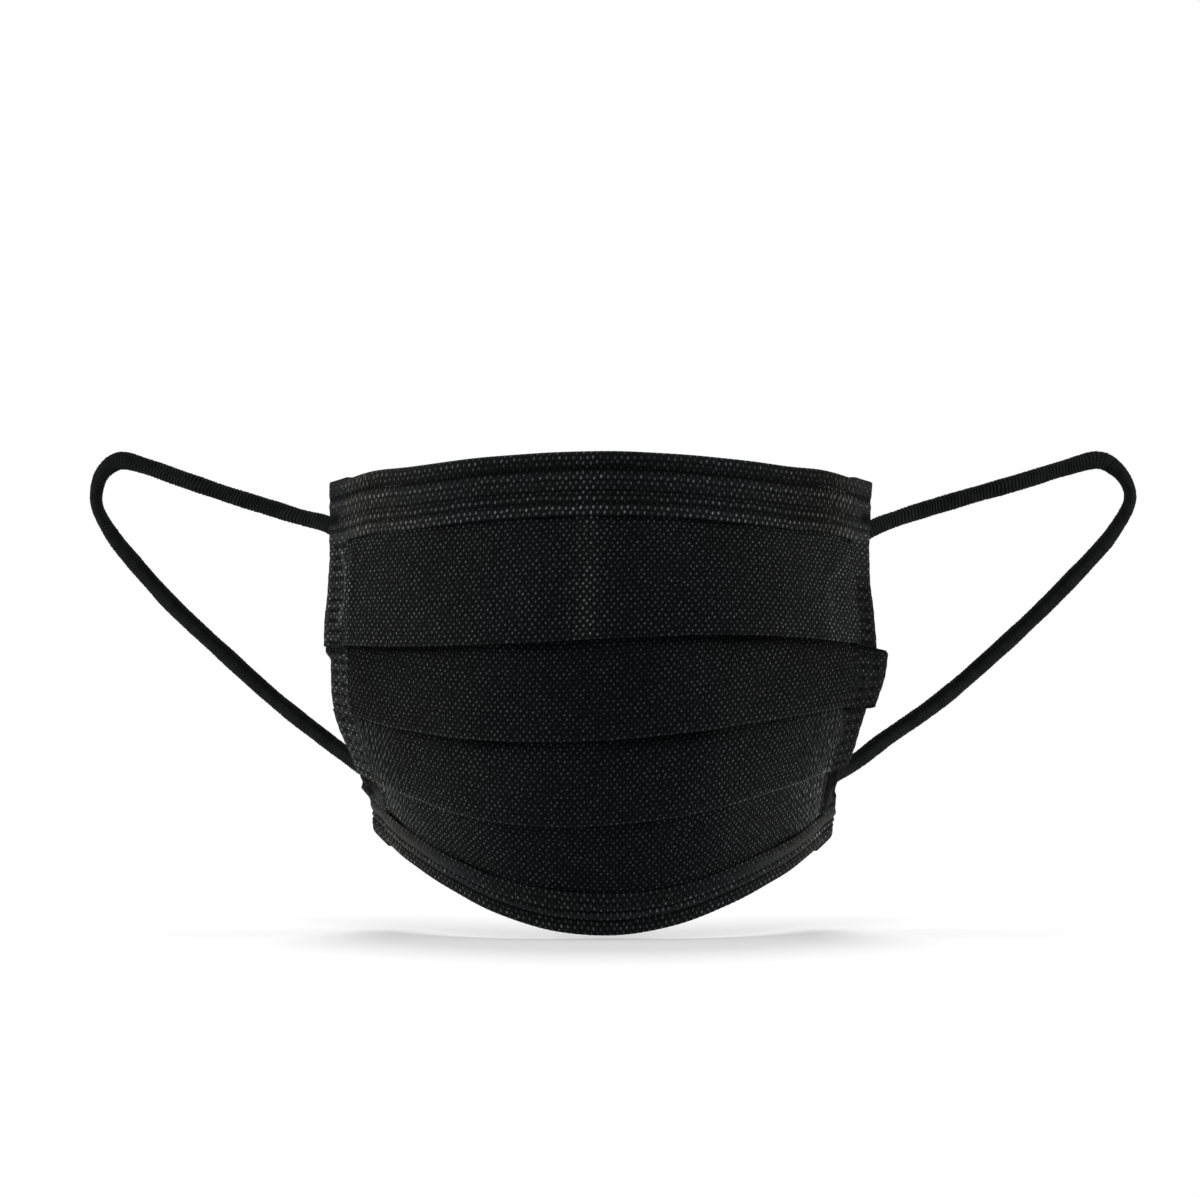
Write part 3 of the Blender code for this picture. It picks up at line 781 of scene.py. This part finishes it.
# The knitted ear loops

RIB_PITCH = 0.95  # mm, from one knitted rib to the next
LOOP_RINGS_PER_RIB = 5
LOOP_SIDES = 22
MEAN_KNIT = 0.64  # mean height of the ribs, from 0 to 1, which stretched knit comes close to


def loop_path(route, spacing):
    places = np.linspace(0, len(route) - 1, 40 * (len(route) - 1) + 1)
    fine = smooth(route, places)
    lengths = np.concatenate(([0.0], np.cumsum(np.linalg.norm(np.diff(fine, axis=0), axis=1))))
    count = int(round(lengths[-1] / spacing)) + 1
    spots = np.linspace(0, lengths[-1], count)
    path = np.stack([np.interp(spots, lengths, fine[:, axis]) for axis in range(3)], axis=1)
    return path, spots, lengths[-1]


def ear_loop(name, route, bend_length, turned):
    """A knitted elastic with an oval section. Its ends are pressed flat against the seam, and past
    the bend painted shade darkens one edge, for a twist of the strand: turned is 1 for above, -1 for below."""
    path, spots, length = loop_path(route, RIB_PITCH * MM / LOOP_RINGS_PER_RIB)
    along = unit(np.gradient(path, axis=0))
    wide = unit(np.cross(along, np.array((0.0, 1.0, 0.0))))
    thin = unit(np.cross(wide, along))
    from_end = np.minimum(spots, length - spots) / MM
    pressed = 1 - ease(from_end, 4.0, 9.0)
    at_bend = hill(spots / MM, bend_length / MM, 12.0)
    corner = hill(spots / MM, bend_length / MM - 14, 6.0)  # it spreads where it turns over
    width = LOOP_WIDTH * (1 + 0.22 * pressed - 0.22 * at_bend + 0.14 * corner)
    thickness = LOOP_THICKNESS * (1 - 0.55 * pressed + 0.10 * at_bend)
    toward = np.where(thin[:, 1] > 0, -1.0, 1.0)
    path = path + thin * (toward * pressed * 0.0015)[:, None]
    angles = np.linspace(0, 2 * math.pi, LOOP_SIDES, endpoint=False)
    mm = (spots / MM)[:, None]
    uneven = 0.30 * np.sin(mm / 5.1) + 0.22 * np.sin(mm / 2.3 + 1)
    knit = np.abs(np.sin(math.pi * (mm / RIB_PITCH + uneven + 0.22 * np.cos(3 * angles)[None, :])))
    stretched = 0.8 * ease(mm, bend_length / MM - 30, bend_length / MM - 8)  # the ribs flatten there
    knit = knit + (MEAN_KNIT - knit) * stretched
    fuzz = np.random.default_rng(11).normal(0, 0.045, knit.shape)
    wales = np.cos(8 * angles)[None, :]
    grid = pressed[:, None] * np.cos(2 * math.pi * mm / 0.9)
    loose = (1 - pressed)[:, None]
    height = (loose * (0.13 * knit ** 0.7 + 0.035 * wales + fuzz) + 0.05 * grid) * MM
    wobble = 1 + 0.02 * np.sin(mm / 3.7) + 0.015 * np.sin(mm / 1.9 + 2)
    half_width = (width / 2 - 0.0001)[:, None] * wobble + height
    half_thickness = (thickness / 2 - 0.0001)[:, None] * wobble + height
    rings = (
        path[:, None, :]
        + wide[:, None, :] * (np.cos(angles)[None, :] * half_width)[..., None]
        + thin[:, None, :] * (np.sin(angles)[None, :] * half_thickness)[..., None]
    )
    count = len(path)
    vertices = np.concatenate((rings.reshape(-1, 3), path[:1], path[-1:]))
    index = np.arange(count * LOOP_SIDES).reshape(count, LOOP_SIDES)
    after = np.roll(index, -1, axis=1)
    faces = np.stack((index[:-1], after[:-1], after[1:], index[1:]), axis=-1).reshape(-1, 4).tolist()
    first, last = count * LOOP_SIDES, count * LOOP_SIDES + 1
    faces += [(first, int(b), int(a)) for a, b in zip(index[0], after[0])]
    faces += [(last, int(a), int(b)) for a, b in zip(index[-1], after[-1])]
    around = np.broadcast_to(angles[None, :] * 1.9, knit.shape)
    cloth = np.stack((around, np.broadcast_to(mm, knit.shape), knit), axis=-1).reshape(-1, 3)
    past_bend = ease(spots / MM, bend_length / MM + 8, bend_length / MM + 30)[:, None]
    # painted shade along one edge past the bend, for the strand's twist
    dull = 1 - 0.5 * past_bend * hill(np.cos(angles) * turned, 0.50, 0.28)[None, :]
    shade = np.stack((knit, np.broadcast_to(loose, knit.shape), dull), axis=-1).reshape(-1, 3)
    ends = np.zeros((2, 3))
    attributes = {"Cloth": np.concatenate((cloth, ends)), "Shade": np.concatenate((shade, ends))}
    return new_mesh(name, vertices, faces, attributes), path, length


# Materials

class Nodes:
    """Short calls for adding shader nodes to one material."""

    def __init__(self, name):
        self.material = bpy.data.materials.new(name)
        self.material.use_nodes = True
        self.tree = self.material.node_tree
        self.shader = self.tree.nodes["Principled BSDF"]

    def add(self, kind, **settings):
        node = self.tree.nodes.new(kind)
        for key, value in settings.items():
            setattr(node, key, value)
        return node

    def put(self, socket, value):
        if isinstance(value, bpy.types.NodeSocket):
            self.tree.links.new(value, socket)
        else:
            socket.default_value = value

    def math(self, operation, *values, clamp=False):
        node = self.add("ShaderNodeMath", operation=operation, use_clamp=clamp)
        for socket, value in zip(node.inputs, values):
            self.put(socket, value)
        return node.outputs[0]

    def attribute(self, name):
        return self.add("ShaderNodeAttribute", attribute_name=name).outputs["Vector"]

    def split(self, vector):
        node = self.add("ShaderNodeSeparateXYZ")
        self.put(node.inputs[0], vector)
        return node.outputs

    def join(self, x, y, z=0.0):
        node = self.add("ShaderNodeCombineXYZ")
        for socket, value in zip(node.inputs, (x, y, z)):
            self.put(socket, value)
        return node.outputs[0]

    def noise(self, vector, scale, detail=2.0, rough=0.5):
        node = self.add("ShaderNodeTexNoise")
        self.put(node.inputs["Vector"], vector)
        node.inputs["Scale"].default_value = scale
        node.inputs["Detail"].default_value = detail
        node.inputs["Roughness"].default_value = rough
        return node.outputs["Fac"]

    def white(self, vector):
        """Three random values from 0 to 1."""
        node = self.add("ShaderNodeTexWhiteNoise", noise_dimensions="3D")
        self.put(node.inputs["Vector"], vector)
        return self.split(node.outputs["Color"])

    def span(self, value, low, high, new_low=0.0, new_high=1.0):
        node = self.add("ShaderNodeMapRange", interpolation_type="SMOOTHSTEP")
        for label, item in (("Value", value), ("From Min", low), ("From Max", high),
                            ("To Min", new_low), ("To Max", new_high)):
            self.put(node.inputs[label], item)
        return node.outputs[0]

    def mix(self, factor, first, second):
        node = self.add("ShaderNodeMix", data_type="RGBA")
        self.put(node.inputs["Factor"], factor)
        for label, value in (("A", first), ("B", second)):
            socket = [s for s in node.inputs if s.name == label and s.type == "RGBA"][0]
            self.put(socket, value)
        return [s for s in node.outputs if s.type == "RGBA"][0]

    def times(self, colour, factor):
        node = self.add("ShaderNodeVectorMath", operation="SCALE")
        self.put(node.inputs[0], colour)
        self.put(node.inputs["Scale"], factor)
        return node.outputs[0]

    def bump(self, height, distance, strength, normal=None):
        node = self.add("ShaderNodeBump")
        node.inputs["Distance"].default_value = distance
        node.inputs["Strength"].default_value = strength
        self.put(node.inputs["Height"], height)
        if normal is not None:
            self.put(node.inputs["Normal"], normal)
        return node.outputs[0]


DOT_WIDTH = 0.31  # half sizes of a bond point, in mm
DOT_HEIGHT = 0.38
DOT_SCATTER = 0.38  # how far a point strays from its place, in mm


def bond_points(nodes, s, t, stretch):
    """(cover, chance) of the staggered bond points: cover is 1 on a point, and chance differs
    from point to point."""
    covers = []
    chances = []
    for phase in (0.0, 0.5):
        u = nodes.math("ADD", nodes.math("DIVIDE", s, DOT_PITCH), phase)
        v = nodes.math("ADD", nodes.math("DIVIDE", t, ROW_PITCH), phase)
        x = nodes.math("MULTIPLY", nodes.math("SUBTRACT", nodes.math("FRACT", u), 0.5), DOT_PITCH)
        y = nodes.math("MULTIPLY", nodes.math("SUBTRACT", nodes.math("FRACT", v), 0.5), ROW_PITCH)
        cell = nodes.join(nodes.math("FLOOR", u), nodes.math("FLOOR", v), phase)
        chance, aside, above = nodes.white(cell)
        x = nodes.math("ADD", x, nodes.math("MULTIPLY", nodes.math("SUBTRACT", aside, 0.5), DOT_SCATTER))
        y = nodes.math("ADD", y, nodes.math("MULTIPLY", nodes.math("SUBTRACT", above, 0.5), DOT_SCATTER))
        leaning = nodes.math("ADD", x, nodes.math("MULTIPLY", y, 0.15))
        wide = nodes.math("POWER", nodes.math("DIVIDE", leaning, DOT_WIDTH), 2.0)
        tall = nodes.math("DIVIDE", y, nodes.math("MULTIPLY", stretch, DOT_HEIGHT))
        distance = nodes.math("SQRT", nodes.math("ADD", wide, nodes.math("POWER", tall, 2.0)))
        cover = nodes.span(distance, 1.25, 0.55)
        covers.append(cover)
        chances.append(nodes.math("MULTIPLY", cover, chance))
    cover = nodes.math("MAXIMUM", *covers)
    chance = nodes.math("MAXIMUM", *chances)
    return cover, chance


def nonwoven(name, ground_colour, dot_colour, ground_rough, dot_rough):
    """Spunbond cloth: dull tangled fibres with smoother, lighter bond points."""
    nodes = Nodes(name)
    cloth = nodes.attribute("Cloth")
    shade = nodes.split(nodes.attribute("Shade"))
    s, t, warmth = nodes.split(cloth)
    drift = nodes.noise(cloth, 0.9, 1.0)
    s = nodes.math("ADD", s, nodes.math("MULTIPLY", nodes.math("SUBTRACT", drift, 0.5), 0.35))
    cover, chance = bond_points(nodes, s, t, shade[2])
    fibres = nodes.noise(nodes.join(nodes.math("MULTIPLY", s, 0.45), t), 9.0, 4.0, 0.65)
    cloudy = nodes.noise(cloth, 0.22, 3.0)
    worn = nodes.noise(cloth, 0.07, 2.0)
    tangle = nodes.span(fibres, 0.25, 0.75, 0.35, 1.7)
    dull = nodes.times(ground_colour, nodes.math("MULTIPLY", shade[1], tangle))
    patch = nodes.span(cloudy, 0.3, 0.7, 0.8, 1.2)
    strength = nodes.math("MULTIPLY", shade[0], nodes.math("ADD", 0.4, nodes.math("MULTIPLY", chance, 1.2)))
    bright = nodes.times(dot_colour, nodes.math("MULTIPLY", strength, patch))
    colour = nodes.mix(cover, dull, bright)
    warm = nodes.math("ADD", warmth, nodes.span(worn, 0.3, 0.7, -0.12, 0.12), clamp=True)
    tint = nodes.mix(warm, (0.85, 1.0, 1.16, 1), (0.95, 1.0, 0.92, 1))
    tinted = nodes.add("ShaderNodeVectorMath", operation="MULTIPLY")
    nodes.put(tinted.inputs[0], colour)
    nodes.put(tinted.inputs[1], tint)
    nodes.put(nodes.shader.inputs["Base Color"], tinted.outputs[0])
    rough = nodes.math("ADD", ground_rough, nodes.math("MULTIPLY", cover, dot_rough - ground_rough))
    nodes.put(nodes.shader.inputs["Roughness"], rough)
    nodes.shader.inputs["Specular IOR Level"].default_value = 0.03
    nodes.shader.inputs["Sheen Weight"].default_value = 0.012
    nodes.shader.inputs["Sheen Roughness"].default_value = 0.45
    nodes.shader.inputs["Sheen Tint"].default_value = (0.8, 0.8, 0.8, 1)
    fine = nodes.bump(fibres, 0.00010, 0.5)
    nodes.put(nodes.shader.inputs["Normal"], nodes.bump(cover, 0.00018, 0.9, fine))
    return nodes.material


def knitted(name):
    """Knitted elastic: ribs of dull yarn, with painted shade in the gaps between them."""
    nodes = Nodes(name)
    cloth = nodes.attribute("Cloth")
    shade = nodes.split(nodes.attribute("Shade"))
    around, along, _ = nodes.split(cloth)
    yarn = nodes.noise(nodes.join(nodes.math("MULTIPLY", around, 0.6), along), 7.0, 4.0, 0.7)
    cloudy = nodes.noise(cloth, 0.35, 2.0)
    # painted shade: the colour darkens from the ribs' tops into their hollows
    ribs = nodes.span(shade[0], 0.25, 0.95, 0.22, 1.55)
    strength = nodes.math("MULTIPLY", ribs, nodes.span(yarn, 0.36, 0.64, 0.05, 2.6))
    strength = nodes.math("MULTIPLY", strength, nodes.span(cloudy, 0.3, 0.7, 0.75, 1.25))
    strength = nodes.math("MULTIPLY", strength, shade[2])
    nodes.put(nodes.shader.inputs["Base Color"], nodes.times((0.0074, 0.0080, 0.0078), strength))
    nodes.shader.inputs["Roughness"].default_value = 0.82
    nodes.shader.inputs["Specular IOR Level"].default_value = 0.03
    nodes.shader.inputs["Sheen Weight"].default_value = 0.01
    nodes.shader.inputs["Sheen Roughness"].default_value = 0.4
    nodes.put(nodes.shader.inputs["Normal"], nodes.bump(yarn, 0.00012, 0.8))
    return nodes.material


def dress(piece, material, slot, *nodes):
    piece.data.materials.append(material)
    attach(piece, "root")
    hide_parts(*nodes)


ROOM_LIGHT = 0.24  # how strongly the white room lights the mask
FLOOR_GLOW = 0.21  # lifts the floor to the room's white


def studio():
    scene = bpy.context.scene
    camera = bpy.data.objects.new("camera", bpy.data.cameras.new("camera"))
    camera.data.sensor_fit = "HORIZONTAL"
    camera.data.sensor_width = 36
    camera.data.lens = CAMERA_LENS
    camera.location = CAMERA_PLACE
    camera.rotation_euler = (math.radians(90), 0, 0)
    scene.collection.objects.link(camera)
    scene.camera = camera
    scene.view_settings.view_transform = "Standard"

    world = bpy.data.worlds.new("studio")
    scene.world = world
    world.use_nodes = True
    tree = world.node_tree
    background = tree.nodes["Background"]
    background.inputs["Color"].default_value = (1, 1, 1, 1)
    ray = tree.nodes.new("ShaderNodeLightPath")
    strength = tree.nodes.new("ShaderNodeMapRange")
    tree.links.new(ray.outputs["Is Camera Ray"], strength.inputs["Value"])
    strength.inputs["To Min"].default_value = ROOM_LIGHT
    strength.inputs["To Max"].default_value = 1.0
    tree.links.new(strength.outputs[0], background.inputs["Strength"])

    target = Vector((0, 0.02, -0.05))
    for label, place, size, power in (
        ("left softbox", (-1.15, -0.20, 0.02), 0.8, 13),
        ("right softbox", (1.15, -0.20, 0.02), 0.8, 12),
        ("upper front softbox", (0, -1.00, 2.3), 1.15, 15),
        ("upper back softbox", (0, 1.15, 2.3), 1.15, 31),
    ):
        lamp = bpy.data.lights.new(label, "AREA")
        lamp.shape = "SQUARE"
        lamp.size = size
        lamp.energy = power
        light = bpy.data.objects.new(label, lamp)
        light.location = place
        light.rotation_euler = (target - Vector(place)).to_track_quat("-Z", "Y").to_euler()
        scene.collection.objects.link(light)


FLOOR_RADIUS = 0.34
FLOOR_MIDDLE = 0.25


def floor(height):
    """A round pale table just under the mask."""
    mesh = bpy.data.meshes.new("floor")
    turns = np.linspace(0, 2 * math.pi, 96, endpoint=False)
    corners = [
        (FLOOR_RADIUS * math.sin(turn), FLOOR_MIDDLE + FLOOR_RADIUS * math.cos(turn), height)
        for turn in -turns
    ]
    mesh.from_pydata(corners, [], [tuple(range(len(corners)))])
    ground = bpy.data.objects.new("floor", mesh)
    bpy.context.scene.collection.objects.link(ground)
    paint = bpy.data.materials.new("pale_floor")
    paint.use_nodes = True
    shader = paint.node_tree.nodes["Principled BSDF"]
    shader.inputs["Base Color"].default_value = (0.85, 0.85, 0.85, 1)
    shader.inputs["Roughness"].default_value = 0.9
    shader.inputs["Specular IOR Level"].default_value = 0.0
    shader.inputs["Emission Color"].default_value = (1, 1, 1, 1)
    shader.inputs["Emission Strength"].default_value = FLOOR_GLOW
    mesh.materials.append(paint)


def main():
    studio()
    elastic = knitted("black_elastic")
    for side, route, bend, turned in (
        ("left", LEFT_LOOP_ROUTE, LEFT_BEND, 1), ("right", RIGHT_LOOP_ROUTE, RIGHT_BEND, -1),
    ):
        node = "ear_loop_" + side
        loop, path, length = ear_loop(node + "_knit", route, bend, turned)
        dress(loop, elastic, "elastic", node)

    panel_cloth = nonwoven("black_nonwoven", (0.0041, 0.0043, 0.0043), (0.046, 0.046, 0.046), 0.85, 0.5)
    hem_cloth = nonwoven("black_hem", (0.0047, 0.0046, 0.0045), (0.046, 0.044, 0.042), 0.82, 0.5)
    seam_cloth = nonwoven("black_weld", (0.0044, 0.0044, 0.0044), (0.036, 0.036, 0.036), 0.7, 0.5)
    panel = pleated_sheet()
    dress(panel, panel_cloth, "nonwoven", "pleated_panel")
    top = hem_sheet("top_hem_cloth", TOP_HEM_DROP, True, TOP_RIBS)
    dress(top, hem_cloth, "hem_nonwoven", "top_hem")
    bottom = hem_sheet("bottom_hem_cloth", BOTTOM_HEM_HEIGHT, False, BOTTOM_RIBS)
    dress(bottom, hem_cloth, "hem_nonwoven", "bottom_hem")
    left = seam_strip("side_seam_left_weld", -1, LEFT_FLARES)
    dress(left, seam_cloth, "welded_nonwoven", "side_seam_left")
    right = seam_strip("side_seam_right_weld", 1, RIGHT_FLARES)
    dress(right, seam_cloth, "welded_nonwoven", "side_seam_right")

    floor(cad_low.z - 0.0015)


main()
